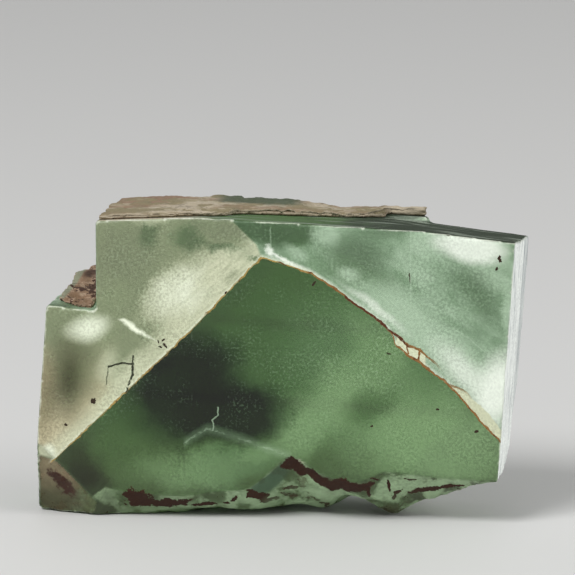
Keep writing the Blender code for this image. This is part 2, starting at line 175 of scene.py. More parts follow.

# Washes of colour on the front face, some of them painted light: colour, centre, radii, turn, softness,
# strength; lengths in millimetres
LEFT_WASHES = (
    (GREY_OLIVE, (-22.5, 40.0), (7.0, 8.0), 0.0, 0.8, 0.6),
    (PALE_OLIVE, (-24.8, 33.5), (4.0, 5.0), 0.0, 0.6, 0.7),
    (DEEP_GREEN, (-19.0, 43.6), (3.6, 2.6), 60.0, 0.7, 0.5),
    (GREY_OLIVE, (-9.0, 45.4), (8.6, 2.4), -4.0, 0.6, 0.8),
    (DEEP_GREEN, (-12.6, 42.8), (3.4, 2.4), 0.0, 0.7, 0.6),
    (DEEP_GREEN, (-7.0, 41.6), (4.4, 1.7), -6.0, 0.7, 0.8),
    (CREAM, (-18.5, 45.4), (4.0, 1.3), 0.0, 0.9, 0.35),
    # The next four rows are painted reflection: the bright crescent where the left crack inside catches the
    # light.
    (CREAM, (-13.0, 35.0), (10.5, 6.4), 40.0, 0.8, 0.9),
    (BRIGHT_CREAM, (-14.0, 35.0), (7.4, 4.9), 34.0, 1.0, 0.8),
    (CREAM, (-7.0, 39.4), (6.0, 2.0), 40.0, 0.9, 0.8),
    (CREAM, (-8.4, 38.4), (7.6, 3.0), 42.0, 0.9, 0.9),
    (DEEP_GREEN, (-3.6, 41.0), (1.6, 0.7), 8.0, 0.8, 0.7),
)
LEDGE_WASHES = (
    (LEDGE_TAN, (-35.6, 19.0), (3.6, 10.0), 0.0, 0.8, 1.0),
    (PALE_OLIVE, (-34.6, 29.6), (4.0, 4.4), 0.0, 0.8, 0.8),
    # The cream and bright cream rows are painted reflection where the crack inside catches the light.
    (CREAM, (-24.8, 23.4), (3.6, 3.6), 30.0, 0.8, 0.9),
    (OLIVE_SHADE, (-31.2, 21.6), (5.4, 10.6), -4.0, 1.0, 0.9),
    (BRIGHT_CREAM, (-28.4, 29.3), (4.8, 2.5), 16.0, 0.95, 1.0),
    (BRIGHT_CREAM, (-35.0, 9.4), (2.0, 2.2), 0.0, 0.7, 0.9),
)
# Its white mint rows and the wide pale mint row along the crack are painted highlights and reflection where
# the right crack inside catches the light.
RIGHT_WASHES = (
    (GREY_GREEN, (12.0, 40.6), (7.0, 5.4), -10.0, 0.8, 0.8),
    (DEEP_GREEN, (-0.6, 45.2), (9.6, 3.9), -6.0, 0.4, 0.85),
    (PALE_MINT, (7.4, 44.0), (3.0, 2.6), -20.0, 0.8, 0.8),
    (PALE_MINT, (22.6, 42.8), (4.4, 3.4), 0.0, 0.8, 0.9),
    (GREY_GREEN, (17.0, 36.6), (5.4, 2.6), -34.0, 0.9, 0.5),
    (PALE_MINT, (11.4, 38.7), (2.6, 1.8), -10.0, 0.9, 0.8),
    (GREY_GREEN, (16.4, 44.8), (6.0, 1.6), -4.0, 0.8, 0.5),
    (PAINTED_HIGHLIGHT_MINT, (29.4, 42.6), (7.0, 3.2), -10.0, 0.6, 0.9),
    (GREY_GREEN, (30.4, 35.6), (7.6, 4.2), -50.0, 0.9, 0.8),
    (PALE_MINT, (35.2, 33.0), (1.6, 7.0), 0.0, 0.9, 0.8),
    (PALE_MINT, (20.5, 31.0), (11.5, 5.0), -36.0, 0.7, 1.0),
    (PAINTED_HIGHLIGHT_MINT, (15.0, 33.2), (8.0, 1.0), -37.0, 0.9, 0.6),
    (PAINTED_HIGHLIGHT_MINT, (28.5, 23.5), (9.5, 3.4), -44.0, 0.9, 0.7),
    (PAINTED_HIGHLIGHT_MINT, (33.4, 21.0), (5.0, 9.0), -20.0, 0.8, 1.0),
    (PAINTED_HIGHLIGHT_MINT, (1.6, 40.3), (4.6, 0.5), -24.0, 0.8, 0.95),
    (PAINTED_HIGHLIGHT_MINT, (-1.0, 41.5), (0.9, 1.2), 40.0, 0.8, 0.95),
    (PALE_MINT, (3.4, 41.2), (3.0, 1.2), -30.0, 0.8, 0.7),
)
INNER_WASHES = (
    (MID_GREEN, (14.0, 25.0), (18.0, 15.0), -34.0, 0.7, 1.0),
    (LIME, (16.0, 27.6), (9.0, 4.6), -38.0, 0.9, 0.6),
    (LIME, (24.0, 13.0), (22.0, 13.0), -10.0, 0.8, 1.0),
    (LIME, (8.0, 18.0), (19.0, 6.4), 42.0, 0.8, 0.9),
    (SHADED_GREEN, (14.4, 18.2), (6.6, 4.0), 26.0, 0.8, 0.7),
    (MID_GREEN, (-6.0, 8.6), (11.0, 4.4), 8.0, 0.7, 1.0),
    (LIME, (-2.6, 9.8), (4.6, 2.0), 10.0, 0.8, 0.6),
    (LIME, (-13.0, 7.6), (13.0, 4.4), 4.0, 0.9, 0.7),
    (LIME, (4.0, 13.6), (7.0, 4.0), 30.0, 0.9, 0.5),
    # Painted shade: the darkest green deep in the crystal between the cracks.
    (PAINTED_DEPTH_SHADE, (-14.0, 20.0), (12.0, 10.8), 30.0, 0.55, 0.97),
    (PAINTED_DEPTH_SHADE, (-7.2, 16.8), (11.2, 6.6), 2.0, 0.55, 0.98),
    (PAINTED_DEPTH_SHADE, (-10.0, 23.8), (7.4, 7.2), -30.0, 0.75, 0.85),
    (SHADED_GREEN, (-2.6, 31.0), (2.2, 5.0), 0.0, 0.9, 0.5),
    # Painted shade on the facet below the lower end of the left crack.
    (PAINTED_CORNER_SHADE, (-29.4, 7.2), (5.4, 6.6), 40.0, 0.8, 0.95),
)

# Stains on the crusts, and painted shade in the ledge crust's hollow: colour, centre, radii, turn, and the
# depth that they start behind
TOP_STAINS = (
    (MOSS_GREEN, (-4.6, 46.4), (8.0, 2.6), -3.0, 1.0),
    (CRUST_PINK, (-20.0, 45.6), (8.0, 0.6), 0.0, -20.0),
    (CRUST_PALE, (18.0, 45.6), (4.0, 1.6), 0.0, -20.0),
)
LEDGE_STAINS_AND_SHADE = (
    (LUMP_GREY, (-32.4, 34.6), (1.0, 2.8), -30.0, -20.0),
    (LUMP_PALE, (-28.0, 34.2), (2.4, 1.6), -30.0, -20.0),
    # The two dark spots are painted shade in the lump's hollow.
    (LUMP_DARK, (-29.9, 35.4), (1.8, 1.1), 10.0, -20.0),
    (LUMP_DARK, (-28.9, 33.8), (0.9, 0.5), 60.0, -20.0),
)


class Value:
    """A number, vector or colour in a shader. Arithmetic on a number adds Math nodes."""

    def __init__(self, shade, socket):
        self.shade = shade
        self.socket = socket

    def _math(self, operation, first, second=0.0):
        return self.shade.add("ShaderNodeMath", {"operation": operation}, {0: first, 1: second})[0]

    def __add__(self, other):
        return self._math("ADD", self, other)

    __radd__ = __add__

    def __sub__(self, other):
        return self._math("SUBTRACT", self, other)

    def __rsub__(self, other):
        return self._math("SUBTRACT", other, self)

    def __mul__(self, other):
        return self._math("MULTIPLY", self, other)

    __rmul__ = __mul__

    def __truediv__(self, other):
        return self._math("DIVIDE", self, other)

    def __pow__(self, other):
        return self._math("POWER", self, other)

    def __abs__(self):
        return self._math("ABSOLUTE", self)


class Made:
    """A node that was added: its outputs by name or place."""

    def __init__(self, shade, node):
        self.shade = shade
        self.node = node

    def __getitem__(self, key):
        return Value(self.shade, self.node.outputs[key])


class Shade:
    """One material, written as expressions on the object's own millimetres."""

    def __init__(self, name):
        self.material = bpy.data.materials.new(name)
        self.material.use_nodes = True
        self.tree = self.material.node_tree
        self.tree.nodes.clear()
        here = self.add("ShaderNodeTexCoord")["Object"]
        self.point = self.vector("SCALE", here, Scale=1.0 / MM)
        parts = self.add("ShaderNodeSeparateXYZ", inputs={0: self.point})
        self.x, self.y, self.z = parts["X"], parts["Y"], parts["Z"]
        self.face = self.add("ShaderNodeCombineXYZ", inputs={"X": self.x, "Y": self.z})[0]

    def add(self, kind, settings=None, inputs=None):
        node = self.tree.nodes.new(kind)
        for key, value in (settings or {}).items():
            if key == "curve":
                self.draw_curve(node, *value)
            else:
                setattr(node, key, value)
        for key, value in (inputs or {}).items():
            if isinstance(value, Value):
                self.tree.links.new(value.socket, node.inputs[key])
            else:
                node.inputs[key].default_value = value
        return Made(self, node)

    @staticmethod
    def draw_curve(node, points, handle):
        curve = node.mapping.curves[0]
        for place, point in zip((0, len(curve.points) - 1), (points[0], points[-1])):
            curve.points[place].location = point
        for point in points[1:-1]:
            curve.points.new(*point)
        for point in curve.points:
            point.handle_type = handle
        node.mapping.update()

    def vector(self, operation, first, second=(0.0, 0.0, 0.0), **inputs):
        sockets = {0: first, 1: second, **inputs}
        made = self.add("ShaderNodeVectorMath", {"operation": operation}, sockets)
        return made["Value" if operation in ("LENGTH", "DOT_PRODUCT") else "Vector"]

    def attribute(self, name):
        return self.add("ShaderNodeAttribute", {"attribute_name": name})["Fac"]

    def step(self, start, end, value):
        """0 before start and 1 after end, with a smooth passage between them."""
        settings = {"interpolation_type": "SMOOTHSTEP"}
        sockets = {"Value": value, "From Min": start, "From Max": end}
        return self.add("ShaderNodeMapRange", settings, sockets)[0]

    def most(self, *values):
        result = values[0]
        for value in values[1:]:
            result = self.add("ShaderNodeMath", {"operation": "MAXIMUM"}, {0: result, 1: value})[0]
        return result

    def clamp(self, value):
        return self.add("ShaderNodeClamp", inputs={"Value": value})[0]

    def blend(self, first, second, share):
        """Colour between two, at a share from 0 to 1."""
        sockets = {0: share}
        for place, colour in ((6, first), (7, second)):
            sockets[place] = colour if isinstance(colour, Value) else (*colour, 1.0)
        return self.add("ShaderNodeMix", {"data_type": "RGBA"}, sockets)[2]

    def scaled(self, colour, share):
        """A colour made lighter or darker by a factor."""
        return self.vector("SCALE", colour, Scale=share)

    def grain(self, size, detail=3.0, rough=0.55, stretch=(1.0, 1.0, 1.0), shift=0.0, drift=0.0):
        """Noise from about 0 to 1 whose lumps are a size in millimetres, longer along stretched axes."""
        scale = [1.0 / (size * along) for along in stretch]
        place = self.vector("MULTIPLY_ADD", self.point, scale, **{"Vector_002": (shift, shift, shift)})
        sockets = {"Vector": place, "Scale": 1.0, "Detail": detail, "Roughness": rough, "Distortion": drift}
        return self.add("ShaderNodeTexNoise", inputs=sockets)

    def noise(self, *args, **kwargs):
        return self.grain(*args, **kwargs)["Fac"]

    def streaks(self, turn, long, short, detail=3.0, shift=0.0):
        """Noise on the front face drawn out into streaks at an angle, lengths in millimetres."""
        made = self.add("ShaderNodeMapping", {"vector_type": "TEXTURE"}, {
            "Vector": self.face,
            "Location": (shift, shift, 0.0),
            "Rotation": (0.0, 0.0, math.radians(turn)),
            "Scale": (long, short, 1.0),
        })
        sockets = {"Vector": made[0], "Scale": 1.0, "Detail": detail, "Roughness": 0.6}
        return self.add("ShaderNodeTexNoise", inputs=sockets)["Fac"]

    def drifted(self, place, reach, size, detail=2.0, shift=0.0):
        """A place on the front face, moved about by noise so that what is drawn there looks grown."""
        wander = self.grain(size, detail=detail, shift=shift)["Color"]
        return self.vector("MULTIPLY_ADD", wander, (reach, reach, 0.0), **{
            "Vector_002": self.vector("SUBTRACT", place, (reach / 2, reach / 2, 0.0)),
        })

    def spot(self, place, centre, radii, turn=0.0):
        """1 at a centre, falling to 0 at the rim of an ellipse, all in millimetres on the front face."""
        made = self.add("ShaderNodeMapping", {"vector_type": "TEXTURE"}, {
            "Vector": place,
            "Location": (*centre, 0.0),
            "Rotation": (0.0, 0.0, math.radians(turn)),
            "Scale": (*radii, 1.0),
        })
        return self.add("ShaderNodeTexGradient", {"gradient_type": "SPHERICAL"}, {"Vector": made[0]})["Fac"]

    def washes(self, place, tone, rows):
        """Soft spots of colour laid one over the other."""
        for colour, centre, radii, turn, softness, strength in rows:
            share = self.step(0.0, softness, self.spot(place, centre, radii, turn)) * strength
            tone = self.blend(tone, colour, share)
        return tone

    def profile(self, along, points, handle="VECTOR"):
        """Height of a line drawn through (along, height) points in millimetres."""
        starts = [point[0] for point in points]
        heights = [point[1] for point in points]
        low, span = min(heights), max(heights) - min(heights)
        length = starts[-1] - starts[0]
        drawn = [((s - starts[0]) / length, (h - low) / span) for s, h in points]
        share = (along - starts[0]) / length
        made = self.add("ShaderNodeFloatCurve", {"curve": (drawn, handle)}, {"Value": share})
        return made[0] * span + low

    def between(self, start, end, value, soft=0.2):
        return self.step(start - soft, start, value) * (1.0 - self.step(end, end + soft, value))

    def line(self, along, across, points, width, soft=0.6):
        """1 on a drawn line, 0 beyond its width; it ends with its points."""
        away = abs(across - self.profile(along, points))
        return (1.0 - self.step(soft, 1.0, away / width)) * self.between(points[0][0], points[-1][0], along)

    def finish(self, surface, volume=None):
        out = self.add("ShaderNodeOutputMaterial", inputs={"Surface": surface})
        if volume:
            self.tree.links.new(volume.socket, out.node.inputs["Volume"])
        return self.material


def front_tones(shade, frost):
    """Colour of the broad front face: pale where the cracks catch the light, deep green between them."""
    x, z = shade.x, shade.z
    broad = shade.drifted(shade.face, 4.0, 6.0, detail=1.0)
    fine = shade.drifted(broad, 1.8, 1.6, shift=3.0)
    fine = shade.vector("MULTIPLY_ADD", frost["Color"], (1.5, 1.5, 0.0), **{
        "Vector_002": shade.vector("SUBTRACT", fine, (0.75, 0.75, 0.0)),
    })
    soft = shade.drifted(shade.face, 3.0, 9.0, detail=1.0, shift=8.0)
    roof = shade.profile(x, LEFT_CRACK + RIGHT_CRACK)
    above = z - roof
    rising = shade.streaks(42.0, 6.0, 2.2)
    falling = shade.streaks(-34.0, 11.0, 5.5, shift=5.0)

    # Painted reflection: cream just above the left crack, where the crack inside catches the light.
    left = shade.blend(PALE_OLIVE, CREAM, shade.step(7.0, 0.5, above + (rising - 0.5) * 9.0) * 0.9)
    left = shade.washes(fine, left, LEFT_WASHES)
    wings = shade.step(33.0, 37.0, z) * shade.step(9.0, 5.0, above)
    strokes = shade.streaks(38.0, 4.0, 0.6, detail=1.0, shift=3.0)
    # Painted reflection: bright streaks in the wing above the crack.
    left = shade.blend(left, BRIGHT_CREAM, shade.step(0.54, 0.74, rising) * wings * 0.45)
    left = shade.blend(left, GREY_OLIVE, shade.step(0.46, 0.28, rising) * wings * 0.6)
    left = shade.blend(left, PALE_OLIVE, shade.step(0.54, 0.36, strokes) * shade.step(-20.0, -10.0, x) * 0.22)

    ledge = shade.blend(WARM_CREAM, PALE_OLIVE, shade.step(14.0, 30.0, z + (falling - 0.5) * 6.0))
    # Painted reflection: cream just above the crack on the ledge.
    ledge = shade.blend(ledge, CREAM, shade.step(4.5, 0.6, above + (rising - 0.5) * 2.0) * 0.8)
    ledge = shade.washes(soft, ledge, LEDGE_WASHES)
    side = shade.step(0.0, 4.5, x + 27.0)
    left = shade.blend(ledge, left, shade.most(side, shade.step(30.0, 33.0, z)))

    right = shade.blend(MINT, PALE_MINT, shade.step(0.40, 0.70, falling) * 0.7)
    right = shade.washes(shade.blend(soft, fine, 0.4), right, RIGHT_WASHES)
    # Painted highlight: white mint just above the right crack near the apex.
    right = shade.blend(right, PAINTED_HIGHLIGHT_MINT, shade.step(1.0, 0.1, above) * shade.step(-3.0, 4.0, x) * 0.45)

    inner = shade.blend(LOW_GREEN, SHADED_GREEN, shade.step(6.0, 20.0, z))
    inner = shade.blend(inner, MID_GREEN, shade.step(0.45, 0.7, falling) * shade.step(-8.0, 12.0, x) * 0.4)
    inner = shade.washes(fine, inner, INNER_WASHES)

    edge = shade.profile(z, APEX_EDGE)
    over = shade.blend(right, left, shade.step(-0.3, 0.3, edge - x))
    tones = shade.blend(inner, over, shade.step(-0.1, 0.1, above))
    return tones, above


def crystal_material(settings):
    """Clear green fluorite under an etched, clouded skin, with its iron stains and the white fibrous end."""
    shade = Shade("fluorite")
    x, y, z = shade.x, shade.y, shade.z
    front, right, top = shade.attribute("front"), shade.attribute("right"), shade.attribute("top")
    rim, chip, back = shade.attribute("rim"), shade.attribute("chip"), shade.attribute("back")
    clouds = shade.noise(7.5, detail=3.0, rough=0.6, shift=2.0)
    mottle = shade.noise(1.3, detail=3.0, rough=0.6, shift=7.0)
    frosting = shade.grain(0.4, detail=1.0, rough=0.6)
    frost = frosting["Fac"]
    blotch = shade.noise(5.0, detail=4.0, rough=0.62, shift=11.0)

    wide = shade.noise(17.0, detail=2.0, rough=0.5, shift=6.0)
    deep = shade.blend(SHADED_GREEN, LOW_GREEN, shade.step(0.35, 0.65, clouds))
    pale = shade.blend(MINT, PALE_MINT, shade.step(0.35, 0.65, clouds))
    # On the back the cracks show again, pale above them: painted reflection of the cracks inside.
    through = z - shade.profile(x + (clouds - 0.5) * 3.0 - BACK_CRACK_SHIFT, LEFT_CRACK + RIGHT_CRACK)
    share = shade.step(0.40, 0.64, wide)
    share = shade.add("ShaderNodeMix", {"data_type": "FLOAT"}, {
        0: back * 0.75, 2: share, 3: shade.step(-0.3, 0.3, through),
    })[0]
    body = shade.blend(deep, pale, share)
    behind_line = (1.0 - shade.step(0.05, 0.05 + mottle * 0.4, abs(through))) * back
    body = shade.blend(body, OCHRE, behind_line * shade.step(0.42, 0.56, blotch))
    tones, above = front_tones(shade, frosting)
    tones = shade.blend(body, tones, front)

    band = shade.step(-0.25, 0.25, shade.profile(x, BAND_TOP) - z) * shade.step(16.0, 14.0, z)
    shaded = shade.clamp(shade.step(0.42, 0.66, blotch) + shade.step(-8.0, -22.0, x) * 0.5)
    broken = shade.blend(BAND_GREEN, BAND_SHADE, shaded)
    near = shade.step(8.0, 2.0, y - FRONT_Y / MM)
    tones = shade.blend(tones, broken, band * near)
    under = shade.attribute("under")
    tones = shade.blend(tones, broken, under)
    facet = shade.step(0.0, 0.4, shade.spot(shade.face, (-1.0, 6.4), (4.6, 2.2), 44.0))
    tones = shade.blend(tones, BLUE_GREEN, facet * band * near)

    bare_top = shade.noise(1.4, detail=2.0, rough=0.7, stretch=(18.0, 1.0, 1.0), shift=1.0)
    # The bare top is painted dark towards the right: a painted dark reflection.
    flat = shade.blend(SHADED_GREEN, PAINTED_DARK_TOP, shade.step(0.0, 16.0, x + (blotch - 0.5) * 26.0))
    flat = shade.blend(CRUST_PALE, flat, shade.step(-14.0, -8.0, x))
    tones = shade.blend(tones, shade.blend(flat, TOP_PALE, shade.step(0.54, 0.64, bare_top) * 0.85), top)
    fibres = shade.noise(0.5, detail=2.0, rough=0.6, stretch=(1.0, 1.0, 18.0), shift=8.0)
    strip = shade.step(-0.15, 0.15, y + 0.8)
    grey = shade.clamp(shade.step(0.5, 0.66, fibres) * 0.75 + strip * 0.4)
    white = shade.blend(FIBRE_WHITE, FIBRE_GREY, grey)
    nick = shade.step(0.1, 0.4, shade.spot(shade.face, (34.6, 20.2), (1.6, 1.1)))
    nick = nick * shade.step(9.0, 10.0, y + mottle * 2.0)
    white = shade.blend(white, CRUST_TAN, nick)
    tones = shade.blend(tones, white, right)
    # Pale sharp edges: white chips, and partly a painted highlight along them.
    tones = shade.blend(tones, RIM_WHITE, shade.step(0.66, 1.0, rim + (mottle - 0.5) * 0.5) * 0.5)

    fine_face = shade.drifted(shade.face, 0.7, 1.2, shift=4.0)
    stained = chip * shade.step(9.3, 8.6, z + (x + 35.0) * 0.25)
    stained = stained * shade.step(-27.0, -32.0, x + (mottle - 0.5) * 5.0)
    tones = shade.blend(tones, CREAM, chip * shade.step(8.8, 9.4, z) * 0.9)
    tones = shade.blend(tones, shade.blend(CHIP_LOW, CHIP_TAN, shade.step(2.0, 7.0, z)), stained * 0.9)
    streak = shade.spot(fine_face, (-32.7, 4.9), (4.8, 1.7), -44.0) + (mottle - 0.5) * 1.4
    streak = shade.step(0.25, 0.5, streak)
    tones = shade.blend(tones, CHIP_RED, stained * streak)
    parts = shade.add("ShaderNodeSeparateXYZ", inputs={0: fine_face})
    fx, fz = parts["X"], parts["Y"]
    wedge = shade.profile(fx, STEP_CRACK_WIDTH) - abs(fz - shade.profile(fx, STEP_CRACK))
    wedge = shade.step(-0.1, 0.55, wedge) * shade.between(STEP_CRACK[0][0], STEP_CRACK[-1][0], x) * front
    tones = shade.blend(tones, BRIGHT_CREAM, wedge)

    on_crack = shade.step(-0.1, 0.1, above) * front
    branch_top = shade.profile(fx, UPPER_BRANCH)
    flakes = on_crack * shade.step(0.2, 0.0, fz - branch_top) * shade.between(*FLAKES_X, fx, 0.3)
    tail = on_crack * shade.step(0.2, -0.1, fz - shade.profile(fx, TAIL_TOP)) * shade.step(26.2, 27.0, x)
    tones = shade.blend(tones, CREAM, shade.most(flakes * 0.85, tail))

    thin = 0.08 + mottle * 0.28
    patchy = shade.step(0.40, 0.56, shade.noise(3.2, detail=2.0, shift=15.0))
    left_line = shade.line(fx, fz, LEFT_CRACK, thin * 1.1) * (patchy * 0.6 + 0.35)
    right_line = shade.line(fx, fz, (APEX,) + RIGHT_CRACK, thin * (shade.step(1.0, 9.0, x) * 0.6 + 0.6))
    heavy = shade.line(fx, fz, HEAVY_CRACK, thin * 1.25)
    branch = shade.line(fx, fz, UPPER_BRANCH, thin * 1.3) * shade.step(25.6, 23.0, x)
    cross = shade.most(
        shade.line(fz, fx, ((26.3, 20.2), (27.8, 20.0)), 0.16),
        shade.line(fz, fx, ((25.2, 21.6), (27.0, 21.9)), 0.2),
    )
    nib = shade.line(fx, fz, TAIL_TOP, thin) * shade.step(30.0, 28.0, x) * 0.8
    stain = shade.clamp(left_line + right_line + branch + heavy + cross + nib) * front
    rusty = shade.blend(OCHRE, RUST, shade.step(3.0, 10.0, x + mottle * 4.0))
    rusty = shade.blend(rusty, RED_BROWN, shade.clamp(heavy + shade.step(0.56, 0.66, mottle) * 0.8))
    lit = shade.step(0.7, 0.1, above) * on_crack
    tones = shade.blend(tones, BRIGHT_CREAM, lit * shade.step(11.0, 6.0, x) * 0.55)
    tones = shade.blend(tones, rusty, stain)

    broken_up = shade.step(0.38, 0.48, mottle)
    hairs = shade.most(
        shade.line(fx, fz, ((-25.2, 23.4), (-23.2, 23.9), (-21.4, 23.8)), 0.19),
        shade.line(fz, fx, ((19.6, -22.6), (22.0, -21.7), (25.0, -21.5)), 0.19) * broken_up,
        shade.line(fz, fx, ((20.7, -25.7), (23.4, -25.2)), 0.11) * 0.6,
    )
    dots = shade.most(*[shade.spot(fine_face, centre, radii, turn) for centre, radii, turn in SMALL_DOTS])
    dots = shade.step(0.30, 0.42, dots + (frost - 0.5) * 0.9) * shade.step(0.05, 0.2, dots)
    tones = shade.blend(tones, DOT_BROWN, shade.clamp(hairs * 0.95 + dots) * front)

    pale_lines = shade.most(
        shade.line(z, x, ((30.0, 20.5), (45.0, 20.4)), 0.14) * 0.6,
        shade.line(z, x, ((42.0, -0.6), (45.0, -0.7)), 0.14) * 0.35,
        shade.line(fx, fz, SCRATCH, 0.14) * 0.5,
        shade.line(fz, fx, ((13.8, -9.4), (15.4, -9.4), (16.2, -8.6), (17.4, -8.7)), 0.16) * 0.7,
        shade.line(fx, fz, INNER_VEIL, 0.24) * shade.step(0.40, 0.6, mottle) * 0.5,
        shade.line(fx, fz, INNER_VEIL, 1.2, soft=0.0) * 0.25,
    )
    tones = shade.blend(tones, PALE_MINT, pale_lines * front * 0.9)

    seam = shade.profile(fx, BROWN_SEAM_WIDTH) - abs(fz - shade.profile(fx, BROWN_SEAM))
    seam = shade.step(-0.1, 0.25, seam + (mottle - 0.5) * 1.7) * shade.between(0.8, 15.0, x)
    blots = shade.most(*[shade.spot(fine_face, centre, radii, turn) for centre, radii, turn in BROWN_PATCHES])
    ragged = blots + (mottle - 0.5) * 1.5 + (frost - 0.5) * 0.5
    patches = shade.most(seam, shade.step(0.24, 0.34, ragged) * shade.step(0.0, 0.1, blots))
    low_front = near * shade.step(13.0, 11.0, z)
    specks = shade.step(0.64, 0.68, mottle) * band * near * shade.step(0.45, 0.6, blotch)
    patches = shade.most(patches, specks * 0.8)
    tones = shade.blend(tones, BROWN_PATCH, patches * low_front)
    beneath = shade.step(0.52, 0.57, blotch + (mottle - 0.5) * 0.12) * under * (1.0 - near * 0.7)
    tones = shade.blend(tones, BROWN_PATCH, beneath)
    seams = shade.step(0.62, 0.66, blotch) * back * shade.step(0.55, 0.62, mottle)
    tones = shade.blend(tones, RUST, seams * 0.6)

    marks = shade.clamp(stain + patches * low_front + beneath + dots * front + wedge + flakes + chip * 0.8)
    bright = shade.vector("DOT_PRODUCT", tones, (0.3, 0.55, 0.15))
    milk = shade.step(0.0, 0.42, bright) * 0.55 + settings.cloudiness + (frost - 0.5) * 0.25
    milk = shade.clamp(shade.most(milk, marks, right * 0.97, rim * 0.6, top * 0.8))
    etched = shade.step(0.40, 0.62, clouds) * 0.20 + 0.07
    tones = shade.scaled(tones, 0.94 + mottle * 0.12 + (shade.step(0.36, 0.64, frost) - 0.5) * etched)
    glints = shade.step(0.54, 0.68, frost) * (etched - 0.07) * front * shade.step(10.0, 20.0, z)
    tones = shade.blend(tones, PALE_MINT, glints * 1.1)
    tint = shade.add("ShaderNodeMix", {"data_type": "RGBA"}, {
        0: 1.0, 6: (0.0, 0.0, 0.0, 1.0), 7: shade.scaled(tones, settings.clear_gain),
    })
    tint.node.clamp_result = True

    bumps = frost * (0.6 + clouds * 0.8) + bare_top * top * 3.0
    grooves = shade.add("ShaderNodeMix", {"data_type": "FLOAT"}, {0: right, 2: bumps, 3: fibres * 2.6})[0]
    normal = shade.add("ShaderNodeBump", inputs={
        "Height": grooves, "Strength": settings.frosting, "Distance": 0.05 * MM,
    })["Normal"]
    clear = shade.add("ShaderNodeBsdfPrincipled", inputs={
        "Base Color": tint[2],
        "Roughness": shade.most(0.24 + clouds * 0.22, top * 0.8),
        "IOR": settings.bending,
        "Transmission Weight": 1.0,
        "Normal": normal,
    })["BSDF"]
    cloudy = shade.add("ShaderNodeBsdfPrincipled", inputs={
        "Base Color": tones,
        "Roughness": shade.most(0.34 + mottle * 0.2 + marks * 0.3, top * 0.9),
        "IOR": settings.bending,
        "Normal": normal,
    })["BSDF"]
    surface = shade.add("ShaderNodeMixShader", inputs={0: milk, 1: clear, 2: cloudy})[0]
    absorb = shade.add("ShaderNodeVolumeAbsorption", inputs={
        "Color": (*settings.depth_colour, 1.0), "Density": settings.depth_density,
    })["Volume"]
    return shade.finish(surface, absorb)


def crust_material(name, colours, pit_share, banding, stains):
    """Matt weathered stone with pits and a pale edge; a banding of 1 draws it out in thin layers."""
    main, pale, dark, accent = colours
    shade = Shade(name)
    stretch = (1.0 + 10.0 * banding, 1.0 + 6.0 * banding, 1.0 - 0.5 * banding)
    layers = shade.noise(0.9, detail=4.0, rough=0.65, stretch=stretch, drift=0.4)
    clouds = shade.noise(5.0, detail=4.0, rough=0.6, stretch=(1.0 + 2.0 * banding, 1.0, 1.0), shift=4.0)
    mottle = shade.noise(0.9, detail=5.0, rough=0.65, shift=9.0)
    pits = shade.noise(1.9, detail=4.0, rough=0.7, shift=13.0)
    tone = shade.blend(main, pale, shade.step(0.46, 0.62, layers))
    tone = shade.blend(tone, accent, shade.step(0.46, 0.64, clouds) * 0.6)
    tone = shade.blend(tone, dark, shade.step(0.62, 0.72, layers + (mottle - 0.5) * 0.4) * 0.6 * banding)
    # Each row is a stain, or on the ledge crust a painted shade in its hollow.
    for colour, centre, radii, turn, behind in stains:
        share = shade.step(0.0, 0.4, shade.spot(shade.face, centre, radii, turn) + (mottle - 0.5) * 0.3)
        tone = shade.blend(tone, colour, share * shade.step(behind, behind + 3.0, shade.y) * 0.9)
    tone = shade.blend(tone, dark, shade.step(1.0 - pit_share, 1.05 - pit_share, pits + (mottle - 0.5) * 0.2))
    tone = shade.blend(tone, pale, shade.step(0.3, 0.9, shade.attribute("rim") + (mottle - 0.5) * 0.6) * 0.7)
    tone = shade.scaled(tone, 0.72 + mottle * 0.52)
    normal = shade.add("ShaderNodeBump", inputs={
        "Height": mottle + layers, "Strength": 0.8, "Distance": 0.25 * MM,
    })["Normal"]
    surface = shade.add("ShaderNodeBsdfPrincipled", inputs={
        "Base Color": tone, "Roughness": 0.8 + mottle * 0.15, "Normal": normal,
    })["BSDF"]
    return shade.finish(surface)


def floor_material(colour):
    shade = Shade("pale floor")
    surface = shade.add("ShaderNodeBsdfPrincipled", inputs={"Base Color": (*colour, 1.0), "Roughness": 0.6})
    return shade.finish(surface["BSDF"])


def smoothstep(start, end, value):
    share = min(max((value - start) / (end - start), 0.0), 1.0)
    return share * share * (3.0 - 2.0 * share)


def ripple(place, size, stretch=(1.0, 1.0, 1.0)):
    """Smooth noise from -1 to 1 at a place in metres, whose lumps are a size in metres."""
    spot = Vector([place[axis] / (size * stretch[axis]) for axis in range(3)])
    return noise.noise(spot + SEED_OFFSET)


def even_copy(node, name, cell):
    """Copy of a solid with its triangles joined and remade as an even net of small cells."""
    bm = bmesh.new()
    bm.from_mesh(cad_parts[node].data)
    bmesh.ops.remove_doubles(bm, verts=bm.verts, dist=0.001 * MM)
    mesh = bpy.data.meshes.new(name)
    bm.to_mesh(mesh)
    bm.free()
    obj = bpy.data.objects.new(name, mesh)
    bpy.context.scene.collection.objects.link(obj)
    even = obj.modifiers.new("even net", "REMESH")
    even.mode = "VOXEL"
    even.voxel_size = cell
    graph = bpy.context.evaluated_depsgraph_get()
    obj.data = bpy.data.meshes.new_from_object(obj.evaluated_get(graph))
    obj.data.name = name
    obj.modifiers.clear()
    bpy.data.meshes.remove(mesh)
    return obj


